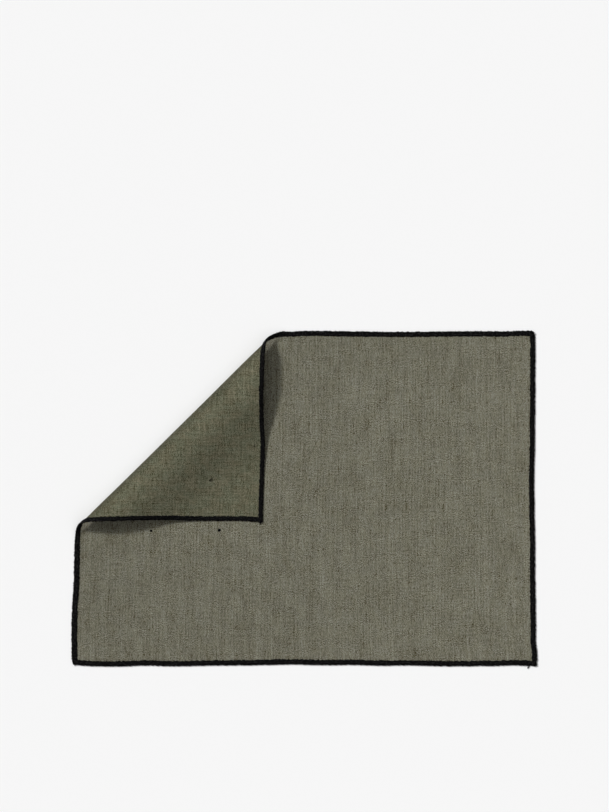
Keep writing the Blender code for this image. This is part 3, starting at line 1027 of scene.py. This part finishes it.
# The black thread: its colour, its unevenness and how strongly each shows, and the pitch of its
# plies in millimetres. Its light specks are dust and painted glints where the threads catch the
# light.
THREAD_BLACK = (0.0019, 0.0018, 0.0018, 1)
THREAD_FIBRES = Drift(0.14, 1.3, 2.0, 2.9)
THREAD_PATCHES = Drift(4.0, 2.0, 2.0, 7.1)
THREAD_DUST_AND_GLINTS = Drift(1.5, 1.4, 0.0, 5.3)
FIBRE_TONE = 2.0
PATCH_TONE = 2.0
DUST_AND_GLINT_TONE = 21.0
PLY_PITCH = 0.38
PLY_TONE = 0.15
PLY_RISE = 0.2
THREAD_DEPTH = 0.1 * MM


def thread_material():
    """Matt black overlock thread: fine fibres along each rib, and an uneven black with light specks
    of dust and painted glints.
    """
    made, tree, shader = new_material("black_thread")
    place = place_in_mm(tree, "threads")
    along_run = add_node(tree, "SeparateXYZ", place).outputs[0]
    plies = maths(tree, "SINE", scaled_to(tree, along_run, 2 * math.pi / PLY_PITCH))
    fibres = threads_noise(tree, place, *THREAD_FIBRES)
    bright = total_of(
        tree,
        1.0,
        scaled_to(tree, fibres, FIBRE_TONE),
        scaled_to(tree, threads_noise(tree, place, *THREAD_PATCHES), PATCH_TONE),
        # Light specks: dust, and painted glints where the threads catch the light
        scaled_to(tree, threads_noise(tree, place, *THREAD_DUST_AND_GLINTS), DUST_AND_GLINT_TONE),
        scaled_to(tree, plies, PLY_TONE),
    )
    bright = maths(tree, "MAXIMUM", bright, 0.0)
    colour = mixed(tree, 1.0, THREAD_BLACK, grey(tree, bright), "MULTIPLY")
    tree.links.new(colour, shader.inputs["Base Color"])
    height = total_of(tree, fibres, scaled_to(tree, plies, PLY_RISE))
    bump = add_node(tree, "Bump", Strength=0.5, Distance=THREAD_DEPTH, Height=height)
    tree.links.new(bump.outputs[0], shader.inputs["Normal"])
    rough = maths(tree, "ADD", 0.72, scaled_to(tree, fibres, 0.3), clamp=True)
    tree.links.new(rough, shader.inputs["Roughness"])
    shader.inputs["Specular IOR Level"].default_value = 0.05
    return made


# ---------------------------------------------------------------- the scene

FLOOR_SIZE = 12.0
FLOOR_DROP = 0.15 * MM

# The camera looks straight down from far off, and this many rows of this size fill its frame
LENS = 250.0
SENSOR = 36.0
FRAME_ROWS = 812
ROW_SIZE = 1.04
FRAME_HEIGHT = FRAME_ROWS * ROW_SIZE * MM
FRAME_MIDDLE = (0.1 * MM, 96.4 * MM)

# The lights: angles in degrees
KEY_ZENITH = 52
KEY_AZIMUTH = -37
KEY_SOFTNESS = 9.5
KEY_STRENGTH = 3.15
OVERHEAD_SOFTNESS = 110
OVERHEAD_STRENGTH = 0.7
FILL_STRENGTH = 0.19


def make_floor():
    half = FLOOR_SIZE / 2
    mesh = bpy.data.meshes.new("floor")
    z = -FLOOR_DROP
    corners = [(-half, -half, z), (half, -half, z), (half, half, z), (-half, half, z)]
    mesh.from_pydata(corners, [], [(0, 1, 2, 3)])
    made, tree, shader = new_material("floor_paint")
    shader.inputs["Base Color"].default_value = (0.9, 0.9, 0.9, 1)
    shader.inputs["Roughness"].default_value = 1.0
    shader.inputs["Specular IOR Level"].default_value = 0.0
    mesh.materials.append(made)
    floor = bpy.data.objects.new("floor", mesh)
    bpy.context.scene.collection.objects.link(floor)
    return floor


def add_sun(name, strength, softness, zenith, azimuth):
    """A light from far away: zenith is its angle from straight above, azimuth where it is from."""
    light = bpy.data.lights.new(name, "SUN")
    light.energy = strength
    light.angle = math.radians(softness)
    lamp = bpy.data.objects.new(name, light)
    lamp.rotation_euler = (0, math.radians(-zenith), math.radians(azimuth))
    bpy.context.scene.collection.objects.link(lamp)


def make_light():
    add_sun("key", KEY_STRENGTH, KEY_SOFTNESS, KEY_ZENITH, KEY_AZIMUTH)
    add_sun("overhead", OVERHEAD_STRENGTH, OVERHEAD_SOFTNESS, 0, 0)
    world = bpy.data.worlds.new("studio")
    world.use_nodes = True
    world.node_tree.nodes["Background"].inputs["Color"].default_value = (1, 1, 1, 1)
    world.node_tree.nodes["Background"].inputs["Strength"].default_value = FILL_STRENGTH
    bpy.context.scene.world = world


def make_camera():
    lens = bpy.data.cameras.new("camera")
    lens.lens = LENS
    lens.sensor_width = SENSOR
    lens.clip_end = 100
    camera = bpy.data.objects.new("camera", lens)
    camera.location = (*FRAME_MIDDLE, FRAME_HEIGHT * LENS / SENSOR)
    bpy.context.scene.collection.objects.link(camera)
    bpy.context.scene.camera = camera


def main():
    make_camera()
    make_light()
    make_floor()
    bpy.context.scene.view_settings.view_transform = "Standard"
    face, reverse, thread = linen_material(FACE), linen_material(REVERSE), thread_material()
    cloth = make_cloth(face, reverse)
    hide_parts("cloth")
    trimmings = []
    for run in RUNS:
        edging = make_edging(run, thread)
        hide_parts("edging_" + run.side)
        trimmings.append(edging)
    trimmings += make_small_things(cloth, thread)


main()
